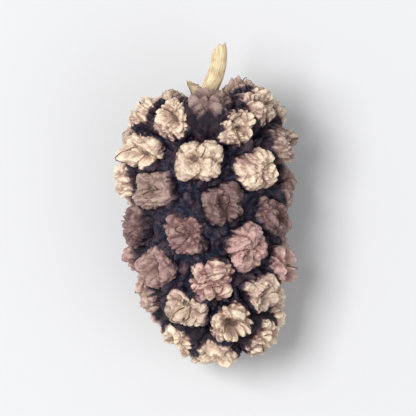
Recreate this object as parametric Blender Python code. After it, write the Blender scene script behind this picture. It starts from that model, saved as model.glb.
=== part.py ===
"""A dried mulberry lying on its side: the fruit, whose drupelets stand on one body, and its stalk.

Metres, +Z up. The fruit lies along Y with its stalk towards +Y. It rests on the flat spots that
drying left under its lowest drupelets, which lie in the plane z = 0.
"""

import math

import bmesh
import bpy
import numpy as np
from mathutils import Matrix, Vector

MM = 0.001

# The fruit over its drupelets.
FRUIT_LENGTH = 16.2 * MM
FRUIT_WIDTH = 10.1 * MM
FRUIT_HEIGHT = 9.4 * MM
TIP_ROUNDNESS = 0.90
STALK_END_ROUNDNESS = 0.48
TAPER = 0.12
SIDE_BEND = 0.4 * MM
END_RISE = 1.7 * MM
RISE_FROM = 0.10 * FRUIT_LENGTH
REST_CUT = 0.5 * MM
SKIN_COLOUR = (0.33, 0.22, 0.19)
SKIN_ROUGHNESS = 0.62

# The middle of the fruit alone. The origin is under the middle of fruit and stalk together.
FRUIT_MIDDLE = (-0.087 * MM, -1.124 * MM)

# The drupelets, set along a spiral that turns by the golden angle from one to the next.
DRUPELETS = 50
GOLDEN_ANGLE = math.radians(137.50776)
SPIRAL_START = math.radians(102)
BARE_END_RADIUS = 1.7 * MM
ROUND_SCATTER = 0.16
ALONG_SCATTER = 0.48
SEED = 28

# One drupelet: half its width round the fruit, half its width along the fruit, half its height.
CAP_ACROSS = 1.54 * MM
CAP_ALONG = 1.37 * MM
CAP_HEIGHT = 1.70 * MM
CAP_SIDES = 8
CAP_RINGS = 7
CAP_RIM = 0.92
SQUARENESS = 0.84
LOBE = 0.10
ROOT_TAPER = 0.16
WAIST = 0.35
DIMPLE_DEPTH = 0.42
DIMPLE_WIDTH = 0.34

# How much one drupelet differs from the next.
FULLNESS = (0.88, 1.08)
HOLLOWNESS = (0.45, 1.25)
UNEVEN = 0.16 * MM
LEAN = 0.16
SPIN = 0.5

# The body that the drupelets grow from.
CORE_DEPTH = 1.50 * MM
CORE_SIDES = 18
CORE_RINGS = 12

# The stalk, seated in a socket at the bottom of the hollow in the blunt end.
STALK_COLOUR = (0.62, 0.47, 0.27)
STALK_ROUGHNESS = 0.7
STALK_RADIUS = 0.52 * MM
STALK_LENGTH = 5.2 * MM
STALK_SEAT_DEPTH = 0.9 * MM
STALK_STRAIGHT = 0.4
STALK_PITCH = math.radians(38)
STALK_HEADING = math.radians(2)
STALK_SWING = math.radians(27)
STALK_POINTS = 14
STALK_WAIST = 0.88
SEAT_GAP = 0.3 * MM
SOCKET_SIDES = 12

# How finely the forms are worked out, and how close to the two ends of the profile.
PROFILE_STEPS = 600
PROFILE_END = 0.0005
THINNEST = 0.02 * MM
NUDGE = 0.004
SHARP_ANGLE = math.radians(50)


def clear_scene():
    for found in list(bpy.data.objects):
        bpy.data.objects.remove(found, do_unlink=True)


def new_collection(name):
    made = bpy.data.collections.new(name)
    bpy.context.scene.collection.children.link(made)
    return made


def new_object(name, shape, home):
    """An object made from a bmesh, which is freed."""
    mesh = bpy.data.meshes.new(name)
    shape.to_mesh(mesh)
    shape.free()
    made = bpy.data.objects.new(name, mesh)
    home.objects.link(made)
    return made


def dry_finish(name, colour, roughness):
    """A dull dry surface of one colour."""
    material = bpy.data.materials.new(name)
    material.use_nodes = True
    shader = material.node_tree.nodes["Principled BSDF"]
    shader.inputs["Base Color"].default_value = (*colour, 1.0)
    shader.inputs["Roughness"].default_value = roughness
    shader.inputs["Metallic"].default_value = 0.0
    material.diffuse_color = (*colour, 1.0)
    return material


def axis_height(y):
    """Height of the fruit's axis: level from the tip to past the middle, then turning up."""
    past = np.maximum(y - RISE_FROM, 0) / (FRUIT_LENGTH / 2 - RISE_FROM)
    return FRUIT_HEIGHT / 2 - REST_CUT + END_RISE * past**2


def fruit_profile(step):
    """Place along the axis and radius at step, from 0 at the tip to 1 at the blunt stalk end."""
    turn = math.pi * np.clip(step, PROFILE_END, 1 - PROFILE_END)
    roundness = TIP_ROUNDNESS + (STALK_END_ROUNDNESS - TIP_ROUNDNESS) * step
    along = -np.sign(np.cos(turn)) * np.abs(np.cos(turn)) ** roundness
    radius = np.sin(turn) ** roundness * (1 + TAPER * along)
    return along * FRUIT_LENGTH / 2, radius * FRUIT_WIDTH / 2


def fruit_skin(step, angle, depth=0.0):
    """Points on the fruit's outer form, or at a depth under it, bent a little to one side."""
    along, radius = fruit_profile(step)
    inner = np.maximum(radius - depth, THINNEST)
    y = along * (1 - 2 * depth / FRUIT_LENGTH)
    x = inner * np.cos(angle) + SIDE_BEND * (2 * y / FRUIT_LENGTH) ** 2
    z = inner * np.sin(angle) * FRUIT_HEIGHT / FRUIT_WIDTH + axis_height(y)
    return np.stack([x + FRUIT_MIDDLE[0], y + FRUIT_MIDDLE[1], z], axis=-1)


def spiral_seats(draw):
    """Step and angle of each drupelet: equal areas of skin apart along a golden-angle spiral."""
    step = np.linspace(0, 1, PROFILE_STEPS)
    along, radius = fruit_profile(step)
    band = (radius[1:] + radius[:-1]) * np.hypot(np.diff(along), np.diff(radius))
    area = np.concatenate([[0.0], np.cumsum(band)])
    bare = (along > 0) & (radius < BARE_END_RADIUS)
    share = np.arange(DRUPELETS) + 0.5 + draw.uniform(-ALONG_SCATTER, ALONG_SCATTER, DRUPELETS)
    place = np.interp(share / DRUPELETS * area[~bare][-1], area, step)
    reach = np.interp(place, step, radius) + CAP_ACROSS
    swing = draw.uniform(-ROUND_SCATTER, ROUND_SCATTER, DRUPELETS) * 2 * CAP_ACROSS / reach
    return place, SPIRAL_START + GOLDEN_ANGLE * np.arange(DRUPELETS) + swing


def seat_axes(place, angle):
    """Unit directions at each seat: round the fruit, along it, and straight out of it."""
    round_it = fruit_skin(place, angle + NUDGE) - fruit_skin(place, angle - NUDGE)
    along_it = fruit_skin(place + NUDGE, angle) - fruit_skin(place - NUDGE, angle)
    outward = np.cross(along_it, round_it)
    outward /= np.linalg.norm(outward, axis=1, keepdims=True)
    round_it /= np.linalg.norm(round_it, axis=1, keepdims=True)
    return np.stack([round_it, np.cross(outward, round_it), outward], axis=2)


def drupelet_form(ball, dimple):
    """Turns a unit ball into a four-lobed knob, half a unit tall, with a hollow in its cap."""
    side = np.hypot(ball[:, 0], ball[:, 1])
    turn = np.arctan2(ball[:, 1], ball[:, 0])
    rise = ball[:, 2]
    spread = side**SQUARENESS * (1 + LOBE * side * np.cos(4 * turn))
    spread *= 1 - ROOT_TAPER * np.clip(WAIST - rise, 0, 1)
    lift = np.sign(rise) * np.abs(rise) ** SQUARENESS
    lift -= dimple * np.exp(-((side / DIMPLE_WIDTH) ** 2)) * (rise > 0)
    return np.stack([spread * np.cos(turn), spread * np.sin(turn), lift], axis=1)


def make_drupelets(home):
    """One object for each drupelet, each a little different in size, turn, lean and hollow."""
    draw = np.random.default_rng(SEED)
    place, angle = spiral_seats(draw)
    axes = seat_axes(place, angle)
    fullness = draw.uniform(*FULLNESS, DRUPELETS)
    spin = math.pi / 4 + draw.uniform(-SPIN, SPIN, DRUPELETS)
    lean = draw.uniform(-LEAN, LEAN, (DRUPELETS, 2))
    depth = CAP_RIM * CAP_HEIGHT + draw.uniform(-UNEVEN, UNEVEN, DRUPELETS)
    dimple = DIMPLE_DEPTH * draw.uniform(*HOLLOWNESS, DRUPELETS)
    centre = fruit_skin(place, angle) - axes[:, :, 2] * depth[:, None]
    for number in range(DRUPELETS):
        shape = bmesh.new()
        bmesh.ops.create_uvsphere(shape, u_segments=CAP_SIDES, v_segments=CAP_RINGS, radius=1.0)
        ball = np.array([vert.co for vert in shape.verts])
        size = (CAP_ACROSS * fullness[number], CAP_ALONG * fullness[number], CAP_HEIGHT, 1.0)
        tipped = Matrix.Rotation(lean[number, 0], 4, "X") @ Matrix.Rotation(lean[number, 1], 4, "Y")
        stance = tipped @ Matrix.Diagonal(size) @ Matrix.Rotation(spin[number], 4, "Z")
        stance = Matrix(axes[number]).to_4x4() @ stance
        for vert, point in zip(shape.verts, drupelet_form(ball, dimple[number])):
            vert.co = Vector(centre[number]) + stance @ Vector(point)
        new_object(f"drupelet_{number:02d}", shape, home)


def make_core(home):
    """The body under the drupelets: the fruit's own form, smaller by the depth of its gaps."""
    shape = bmesh.new()
    bmesh.ops.create_uvsphere(shape, u_segments=CORE_SIDES, v_segments=CORE_RINGS, radius=1.0)
    for vert in shape.verts:
        step = math.acos(max(-1.0, min(1.0, -vert.co.z))) / math.pi
        angle = math.atan2(vert.co.y, vert.co.x)
        vert.co = Vector(fruit_skin(np.array(step), np.array(angle), CORE_DEPTH))
    bmesh.ops.recalc_face_normals(shape, faces=shape.faces)
    return new_object("fruit", shape, home)


def stalk_route():
    """Points of the stalk: straight out of its socket, a swing to one side, then straightening."""
    run = np.linspace(0, 1, STALK_POINTS)
    free = np.clip((run - STALK_STRAIGHT) / (1 - STALK_STRAIGHT), 0, 1)
    pitch = STALK_PITCH * (1 - free)
    heading = STALK_HEADING * (1 - free) + STALK_SWING * np.sin(math.pi * np.sqrt(free))
    stride = np.stack(
        [np.cos(pitch) * np.sin(heading), np.cos(pitch) * np.cos(heading), np.sin(pitch)], axis=1
    )
    strides = (stride[1:] + stride[:-1]) / 2 * STALK_LENGTH / (STALK_POINTS - 1)
    foot_y = FRUIT_LENGTH / 2 - CORE_DEPTH - STALK_SEAT_DEPTH
    foot = np.array([SIDE_BEND + FRUIT_MIDDLE[0], foot_y + FRUIT_MIDDLE[1], axis_height(foot_y)])
    return foot + np.concatenate([np.zeros((1, 3)), np.cumsum(strides, axis=0)])


def apply_modifiers(holder):
    """Gives an object the mesh that its modifiers make, and takes them off."""
    seen = holder.evaluated_get(bpy.context.evaluated_depsgraph_get())
    made = bpy.data.meshes.new_from_object(seen)
    holder.modifiers.clear()
    holder.data = made


def join_all(holder, repeats):
    """One union of the holder with every object in a collection, which is then emptied."""
    joined = holder.modifiers.new("join", "BOOLEAN")
    joined.operation = "UNION"
    joined.operand_type = "COLLECTION"
    joined.collection = repeats
    joined.solver = "EXACT"
    apply_modifiers(holder)
    for repeat in list(repeats.objects):
        bpy.data.objects.remove(repeat, do_unlink=True)
    bpy.data.collections.remove(repeats)


def add_cut(holder, cutter):
    cut = holder.modifiers.new(cutter.name, "BOOLEAN")
    cut.operation = "DIFFERENCE"
    cut.object = cutter
    cutter.hide_render = True
    cutter.display_type = "WIRE"


def keep_outer_shell(mesh):
    """Drops loose scraps and the walls of hollows that joining sealed, which fills them."""
    shape = bmesh.new()
    shape.from_mesh(mesh)
    unseen = set(shape.faces)
    shells = []
    while unseen:
        shell = {next(iter(unseen))}
        front = shell
        while front:
            sides = {side for face in front for side in face.edges}
            front = {face for side in sides for face in side.link_faces} - shell
            shell = shell | front
        unseen -= shell
        shells.append(shell)
    shells.sort(key=len, reverse=True)
    for scrap in shells[1:]:
        bmesh.ops.delete(shape, geom=list(scrap), context="FACES")
    shape.to_mesh(mesh)
    shape.free()


def table_cutter(cutters):
    """A block whose top face is the plane z = 0, which leaves the flat spots."""
    shape = bmesh.new()
    size = (2 * FRUIT_WIDTH, 2 * FRUIT_LENGTH, FRUIT_HEIGHT, 1.0)
    bmesh.ops.create_cube(shape, size=1.0, matrix=Matrix.Diagonal(size))
    cutter = new_object("table_cutter", shape, cutters)
    cutter.location.z = -FRUIT_HEIGHT / 2
    return cutter


def socket_cutter(cutters):
    """A round hole along the stalk's straight foot, wider and deeper than it by the seat gap."""
    route = stalk_route()
    foot = Vector(route[0])
    out = (Vector(route[1]) - foot).normalized()
    shape = bmesh.new()
    bmesh.ops.create_cone(
        shape,
        cap_ends=True,
        segments=SOCKET_SIDES,
        radius1=STALK_RADIUS + SEAT_GAP,
        radius2=STALK_RADIUS + 2 * SEAT_GAP,
        depth=STALK_LENGTH,
    )
    cutter = new_object("socket_cutter", shape, cutters)
    cutter.location = foot + out * (STALK_LENGTH / 2 - SEAT_GAP)
    cutter.rotation_mode = "QUATERNION"
    cutter.rotation_quaternion = out.to_track_quat("Z", "Y")
    return cutter


def make_fruit(home, cutters):
    """The whole fruit as one body: core and drupelets joined, then the flats and the socket cut."""
    fruit = make_core(home)
    repeats = new_collection("drupelets")
    make_drupelets(repeats)
    join_all(fruit, repeats)
    add_cut(fruit, table_cutter(cutters))
    add_cut(fruit, socket_cutter(cutters))
    apply_modifiers(fruit)
    keep_outer_shell(fruit.data)
    fruit.data.materials.clear()
    fruit.data.materials.append(dry_finish("dried_fruit_skin", SKIN_COLOUR, SKIN_ROUGHNESS))
    fruit.data.shade_smooth()
    fruit.data.set_sharp_from_angle(angle=SHARP_ANGLE)


def make_stalk(home):
    """A thin tube, a little swollen at its foot and at its broken end."""
    curve = bpy.data.curves.new("stalk", "CURVE")
    curve.dimensions = "3D"
    curve.bevel_depth = STALK_RADIUS
    curve.bevel_resolution = 2
    curve.use_fill_caps = True
    spline = curve.splines.new("POLY")
    spline.points.add(STALK_POINTS - 1)
    for number, place in enumerate(stalk_route()):
        from_middle = abs(2 * number / (STALK_POINTS - 1) - 1)
        spline.points[number].co = (*place, 1.0)
        spline.points[number].radius = STALK_WAIST + (1 - STALK_WAIST) * from_middle**3
    curve.materials.append(dry_finish("dry_stalk", STALK_COLOUR, STALK_ROUGHNESS))
    home.objects.link(bpy.data.objects.new("stalk", curve))


clear_scene()
mulberry = new_collection("dried_mulberry")
make_fruit(mulberry, new_collection("cutters"))
make_stalk(mulberry)
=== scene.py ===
"""A dried mulberry lying on its side on a pale floor, seen from straight above.

Metres, +Z up. The fruit lies along Y with its stalk towards +Y and rests on the plane z = 0.
"""

import math

import bpy
import numpy as np
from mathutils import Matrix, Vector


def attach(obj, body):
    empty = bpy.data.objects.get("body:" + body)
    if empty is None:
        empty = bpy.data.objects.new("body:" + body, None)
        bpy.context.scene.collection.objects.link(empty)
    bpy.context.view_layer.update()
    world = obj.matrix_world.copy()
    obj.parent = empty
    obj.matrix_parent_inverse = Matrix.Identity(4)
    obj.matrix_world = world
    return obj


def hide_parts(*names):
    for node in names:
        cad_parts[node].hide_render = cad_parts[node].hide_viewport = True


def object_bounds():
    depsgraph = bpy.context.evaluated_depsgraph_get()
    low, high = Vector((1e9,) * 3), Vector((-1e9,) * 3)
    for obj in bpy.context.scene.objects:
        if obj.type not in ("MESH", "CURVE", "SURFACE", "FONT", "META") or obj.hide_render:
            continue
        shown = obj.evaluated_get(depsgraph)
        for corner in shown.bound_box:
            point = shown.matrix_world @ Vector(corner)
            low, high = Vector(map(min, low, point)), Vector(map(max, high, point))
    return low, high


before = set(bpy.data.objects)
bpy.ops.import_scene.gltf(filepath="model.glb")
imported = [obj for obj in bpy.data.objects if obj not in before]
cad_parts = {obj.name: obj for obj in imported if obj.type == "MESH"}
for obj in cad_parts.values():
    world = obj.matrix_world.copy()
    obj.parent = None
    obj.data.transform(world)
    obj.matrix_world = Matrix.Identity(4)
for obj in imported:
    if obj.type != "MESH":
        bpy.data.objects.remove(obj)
cad_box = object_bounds()


# The stage: a plain pale floor, a camera that looks straight down on the lying fruit, and soft
# studio light. The camera is turned so that the fruit's stalk end leans to the left.
MM = 0.001
VIEW_ACROSS = 23.5 * MM
CAMERA_HEIGHT = 450 * MM
CAMERA_TURN = math.radians(-4)
CAMERA_NEAREST = 10 * MM
FLOOR_ACROSS = 3.0
FLOOR_DROP = 0.01 * MM
FLOOR_COLOUR = (0.66, 0.66, 0.67)
FLOOR_ROUGHNESS = 0.9
KEY_PLACE = (-0.18, 0.06, 0.42)
KEY_ACROSS = 0.20
KEY_WATTS = 1.98
FILL_PLACE = (0.24, -0.14, 0.36)
FILL_ACROSS = 0.34
FILL_WATTS = 0.36
ROOM_COLOUR = (0.96, 0.98, 1.0, 1)
ROOM_LIGHT = 0.46


def new_material(name, roughness):
    """A material whose roughness is set, with its node tree and its Principled shader."""
    made = bpy.data.materials.new(name)
    made.use_nodes = True
    shader = made.node_tree.nodes["Principled BSDF"]
    shader.inputs["Roughness"].default_value = roughness
    return made, made.node_tree, shader


def soft_light(name, place, across, watts):
    """A square area light at a place, aimed at the fruit."""
    lamp = bpy.data.lights.new(name, "AREA")
    lamp.size = across
    lamp.energy = watts
    made = bpy.data.objects.new(name, lamp)
    made.location = place
    made.rotation_euler = (-made.location).to_track_quat("-Z", "Y").to_euler()
    bpy.context.scene.collection.objects.link(made)


lens = bpy.data.cameras.new("camera")
lens.lens = lens.sensor_width * CAMERA_HEIGHT / VIEW_ACROSS
lens.clip_start = CAMERA_NEAREST
camera = bpy.data.objects.new("camera", lens)
camera.location = (0, 0, CAMERA_HEIGHT + cad_box[1].z / 2)
camera.rotation_euler = (0, 0, CAMERA_TURN)
bpy.context.scene.collection.objects.link(camera)
bpy.context.scene.camera = camera

floor_mesh = bpy.data.meshes.new("floor")
half = FLOOR_ACROSS / 2
corners = [(-half, -half, -FLOOR_DROP), (half, -half, -FLOOR_DROP)]
corners += [(half, half, -FLOOR_DROP), (-half, half, -FLOOR_DROP)]
floor_mesh.from_pydata(corners, [], [(0, 1, 2, 3)])
floor_finish, _, floor_shader = new_material("pale_floor", FLOOR_ROUGHNESS)
floor_shader.inputs["Base Color"].default_value = (*FLOOR_COLOUR, 1)
floor_mesh.materials.append(floor_finish)
floor = bpy.data.objects.new("floor", floor_mesh)
bpy.context.scene.collection.objects.link(floor)

soft_light("key", KEY_PLACE, KEY_ACROSS, KEY_WATTS)
soft_light("fill", FILL_PLACE, FILL_ACROSS, FILL_WATTS)
room = bpy.data.worlds.new("room")
room.use_nodes = True
room.node_tree.nodes["Background"].inputs["Color"].default_value = ROOM_COLOUR
room.node_tree.nodes["Background"].inputs["Strength"].default_value = ROOM_LIGHT
bpy.context.scene.world = room
bpy.context.scene.view_settings.view_transform = "Standard"


# The drupelets: small juicy fruits, each wrapped in four tepals, that have dried to lobed and
# wrinkled knobs with a hollow in the cap. They stand in a spiral and are grown on to the body
# under them. Their sizes, places and hollows are the ones that the solid fruit has.
FRUIT_LENGTH = 16.2 * MM
FRUIT_WIDTH = 10.1 * MM
FRUIT_HEIGHT = 9.4 * MM
TIP_ROUNDNESS = 0.90
STALK_END_ROUNDNESS = 0.48
TAPER = 0.12
SIDE_BEND = 0.4 * MM
END_RISE = 1.7 * MM
RISE_FROM = 0.10 * FRUIT_LENGTH
REST_CUT = 0.5 * MM
FRUIT_MIDDLE = (-0.087 * MM, -1.124 * MM)
PROFILE_STEPS = 600
PROFILE_END = 0.0005
THINNEST = 0.02 * MM
NUDGE = 0.004

DRUPELETS = 50
GOLDEN_ANGLE = math.radians(137.50776)
SPIRAL_START = math.radians(102)
BARE_END_RADIUS = 1.7 * MM
ROUND_SCATTER = 0.16
ALONG_SCATTER = 0.48
SEED = 28
CAP_ACROSS = 1.54 * MM
CAP_ALONG = 1.37 * MM
CAP_HEIGHT = 1.70 * MM
CAP_RIM = 0.92
SQUARENESS = 0.84
LOBE = 0.10
ROOT_TAPER = 0.16
WAIST = 0.35
DIMPLE_DEPTH = 0.42
DIMPLE_WIDTH = 0.34
FULLNESS = (0.88, 1.08)
HOLLOWNESS = (0.45, 1.25)
UNEVEN = 0.16 * MM
LEAN = 0.16
SPIN = 0.5

# One knob is worked out in rings, close together on its cap and wide apart at its root. What
# drying did to it comes on top. Its depths and widths are shares of half the knob's width, and
# a pair of numbers is the range that a draw is taken from or that an edge is eased over.
KNOB_RINGS = 48
KNOB_SIDES = 104
FIRST_RING = 0.015
CAP_RINGS_SHARE = 0.60
LAST_RING = 0.985
ROOT_SPACING = 6
DETAIL_SEED = 11

# The four tepals, and the seams along which they overlap.
TEPAL_UNEVEN = 0.16
TEPAL_RISE = (0.05, 0.50)
TEPAL_SPREAD = 0.22
TEPAL_START = (0.04, 0.26)
TEPAL_END = (0.44 * math.pi, 0.62 * math.pi)
TEPAL_PARTING = (0.15, 1.6)
SEAM_SWAY = 0.26
SEAM_SWAY_WAVES = 2.5
SEAM_SIDE = 0.12
SEAM_WIDTH = 0.20
SEAM_DEPTH = 0.055
MARGIN_WIDTH = 0.13
OVERLAP = 0.036
OVERLAP_SHARPNESS = 10

# The hollow in the cap, drawn out to a slit in some and open to a pit in others, and its rim.
HOLLOW_OFFSET = 0.13
HOLLOW_NARROWEST = 0.88
HOLLOW_AT_SEAMS = 0.30
HOLLOW_SLOPE = 1.3
HOLLOW_LIMIT = 0.50
HOLLOW_CRUMPLE = 0.12
HOLLOW_FINE = 0.7
HOLLOW_FOLD = 0.3
HOLLOW_FOLD_START = (0.05, 0.20)
SLIT_SEED = 3
SLIT_STRETCH = (1.0, 2.1)
SLIT_SPIN = 0.3
OPEN_HOLLOW = (0.20, 0.50)
PIT_DEPTH = 0.24
PIT_WIDTH = 0.13
PIT_LOBE = 0.35
# How wide the pit is painted dark, as painted shade, in shares of the hollow's width.
PIT_SHADE_WIDTH = 0.48
RIM_PLACE = 0.56
RIM_LOBE = 0.07
RIM_UNEVEN = 0.06
RIM_WIDTH = 0.13
RIM_HEIGHT = 0.08
RIM_AT_SEAMS = 0.45

# Folds from the hollow down the sides, a dent in one shoulder, swells and creases.
SIDE_START = (0.24 * math.pi, 0.42 * math.pi)
SHOULDER_START = (0.06, 0.36)
FOLD_COUNTS = (8, 15)
FOLD_SWAY = 0.9
FOLD_DEPTH = 0.045
PUCKER_DEPTH = 0.014
FINE_FOLD_COUNTS = (19, 29)
FINE_FOLD_DEPTH = 0.014
FINE_FOLD_ON_CAP = 0.3
DENT_DEPTH = 0.30
DENT_WIDTH = 0.22
DENT_OUTWARD = 0.8
DENT_UPWARD = 0.6
DENT_STRENGTH = (-0.3, 1.0)
LUMP_WAVE = 2.6
LUMP_HEIGHT = 0.13
CRUMPLE_BEND = 0.6
CREASE_WAVE = 5.0
CREASE_DEPTH = 0.16
CREASE_STRENGTH = (0.6, 1.15)
CREASE_LOST_ON_SIDE = 0.5
FINE_WAVE = 13.0
FINE_DEPTH = 0.032

# How much each kind of valley and ridge counts in the value that the colours follow, which gives
# painted highlight on the crests and painted shade in the valleys, and how near a neighbouring
# knob a point has to be to lie in the cleft between the two, where shade is painted as well.
VALLEY_SEAM = 0.7
VALLEY_FOLD = 0.6
VALLEY_PUCKER = 0.2
VALLEY_FINE_FOLD = 0.12
VALLEY_FINE = 0.5
CREST_LEVEL = 0.90
CREST_RAISED = 0.25
CREST_SUNK = 0.55
NEIGHBOURS = 9
CLEFT_REACH = (0.98, 1.26)
CLEFT_STRENGTH = (0.45, 1.25)


def axis_height(y):
    """Height of the fruit's axis: level from the tip to past the middle, then turning up."""
    past = np.maximum(y - RISE_FROM, 0) / (FRUIT_LENGTH / 2 - RISE_FROM)
    return FRUIT_HEIGHT / 2 - REST_CUT + END_RISE * past**2


def fruit_profile(step):
    """Place along the axis and radius: powers of the cosine and sine of half a turn over step.

    The power falls from the round tip to the blunt stalk end."""
    turn = math.pi * np.clip(step, PROFILE_END, 1 - PROFILE_END)
    roundness = TIP_ROUNDNESS + (STALK_END_ROUNDNESS - TIP_ROUNDNESS) * step
    along = -np.sign(np.cos(turn)) * np.abs(np.cos(turn)) ** roundness
    radius = np.sin(turn) ** roundness * (1 + TAPER * along)
    return along * FRUIT_LENGTH / 2, radius * FRUIT_WIDTH / 2


def fruit_skin(step, angle, depth=0.0):
    """The profile turned about the axis, less a depth, flattened, and bent a little to one side."""
    along, radius = fruit_profile(step)
    inner = np.maximum(radius - depth, THINNEST)
    y = along * (1 - 2 * depth / FRUIT_LENGTH)
    x = inner * np.cos(angle) + SIDE_BEND * (2 * y / FRUIT_LENGTH) ** 2
    z = inner * np.sin(angle) * FRUIT_HEIGHT / FRUIT_WIDTH + axis_height(y)
    return np.stack([x + FRUIT_MIDDLE[0], y + FRUIT_MIDDLE[1], z], axis=-1)


def spiral_seats(draw):
    """Step and angle of each drupelet: equal areas of skin apart along a golden-angle spiral."""
    step = np.linspace(0, 1, PROFILE_STEPS)
    along, radius = fruit_profile(step)
    band = (radius[1:] + radius[:-1]) * np.hypot(np.diff(along), np.diff(radius))
    area = np.concatenate([[0.0], np.cumsum(band)])
    bare = (along > 0) & (radius < BARE_END_RADIUS)
    share = np.arange(DRUPELETS) + 0.5 + draw.uniform(-ALONG_SCATTER, ALONG_SCATTER, DRUPELETS)
    place = np.interp(share / DRUPELETS * area[~bare][-1], area, step)
    reach = np.interp(place, step, radius) + CAP_ACROSS
    swing = draw.uniform(-ROUND_SCATTER, ROUND_SCATTER, DRUPELETS) * 2 * CAP_ACROSS / reach
    return place, SPIRAL_START + GOLDEN_ANGLE * np.arange(DRUPELETS) + swing


def seat_axes(place, angle):
    """Unit directions at each seat, as columns: round the fruit, along it, straight out of it."""
    round_it = fruit_skin(place, angle + NUDGE) - fruit_skin(place, angle - NUDGE)
    along_it = fruit_skin(place + NUDGE, angle) - fruit_skin(place - NUDGE, angle)
    outward = np.cross(along_it, round_it)
    outward /= np.linalg.norm(outward, axis=1, keepdims=True)
    round_it /= np.linalg.norm(round_it, axis=1, keepdims=True)
    return np.stack([round_it, np.cross(outward, round_it), outward], axis=2)


def turned(angle, axis):
    """Rotation matrices, one for each angle, about one of the three axes."""
    made = np.zeros((len(angle), 3, 3))
    first, second = (axis + 1) % 3, (axis + 2) % 3
    made[:, axis, axis] = 1
    made[:, first, first] = made[:, second, second] = np.cos(angle)
    made[:, second, first] = np.sin(angle)
    made[:, first, second] = -np.sin(angle)
    return made


def seat_drupelets():
    """For each drupelet: the middle of its ball, the matrix that shapes and sets it, its hollow,
    its place along the fruit, and the way that it points."""
    draw = np.random.default_rng(SEED)
    place, angle = spiral_seats(draw)
    axes = seat_axes(place, angle)
    fullness = draw.uniform(*FULLNESS, DRUPELETS)
    spin = math.pi / 4 + draw.uniform(-SPIN, SPIN, DRUPELETS)
    lean = draw.uniform(-LEAN, LEAN, (DRUPELETS, 2))
    depth = CAP_RIM * CAP_HEIGHT + draw.uniform(-UNEVEN, UNEVEN, DRUPELETS)
    dimple = DIMPLE_DEPTH * draw.uniform(*HOLLOWNESS, DRUPELETS)
    middle = fruit_skin(place, angle) - axes[:, :, 2] * depth[:, None]
    size = np.zeros((DRUPELETS, 3, 3))
    size[:, 0, 0] = CAP_ACROSS * fullness
    size[:, 1, 1] = CAP_ALONG * fullness
    size[:, 2, 2] = CAP_HEIGHT
    stance = axes @ turned(lean[:, 0], 0) @ turned(lean[:, 1], 1) @ size @ turned(spin, 2)
    return middle, stance, dimple, place, axes[:, :, 2]


def eased(value, low, high):
    """0 below low, 1 above high, and a smooth S between them."""
    share = np.clip((value - low) / (high - low), 0, 1)
    return share * share * (3 - 2 * share)


def bell(value, middle, width):
    """1 at the middle, falling away on both sides as a bell curve of that width."""
    return np.exp(-(((value - middle) / width) ** 2))


def crumple(point, draw, wave, waves=5):
    """Creased relief from 0 in the valleys to 1 on the crests, as a wrinkled skin has.

    Each of several waves runs in a direction of its own, bent by a slower wave, and is folded up
    at zero, which gives round crests and sharp valleys. The lowest of them at each point shows."""
    count = len(point)
    heading = draw.normal(size=(count, waves, 3))
    heading /= np.linalg.norm(heading, axis=2, keepdims=True)
    across = draw.normal(size=(count, waves, 3)) * CRUMPLE_BEND
    start = draw.uniform(0, 2 * math.pi, (count, 2, 1, 1, waves))
    bend = np.sin(np.einsum("nrsk,nwk->nrsw", point, across) * wave + start[:, 0])
    ripple = np.einsum("nrsk,nwk->nrsw", point, heading) * wave + bend + start[:, 1]
    return np.abs(np.sin(ripple)).min(axis=3)


def lumps(point, draw, wave, waves=4):
    """Soft swells from -1 to 1: the mean of several sine waves in directions of their own."""
    count = len(point)
    heading = draw.normal(size=(count, waves, 3)) * wave
    start = draw.uniform(0, 2 * math.pi, (count, 1, 1, waves))
    return np.sin(np.einsum("nrsk,nwk->nrsw", point, heading) + start).mean(axis=3)


def radial_folds(turn, counts, draw, count):
    """Folds that run from the hollow down to the root: the sine of a whole number of half turns,
    its spacing varied by a slower sine, folded up at zero so that its valleys are sharp."""
    number = draw.integers(*counts, (count, 1, 1))
    phase = draw.uniform(0, 2 * math.pi, (count, 2, 1, 1))
    sway = FOLD_SWAY * np.sin(2 * turn + phase[:, 0])
    return np.abs(np.sin(number * turn / 2 + sway + phase[:, 1]))


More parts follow.
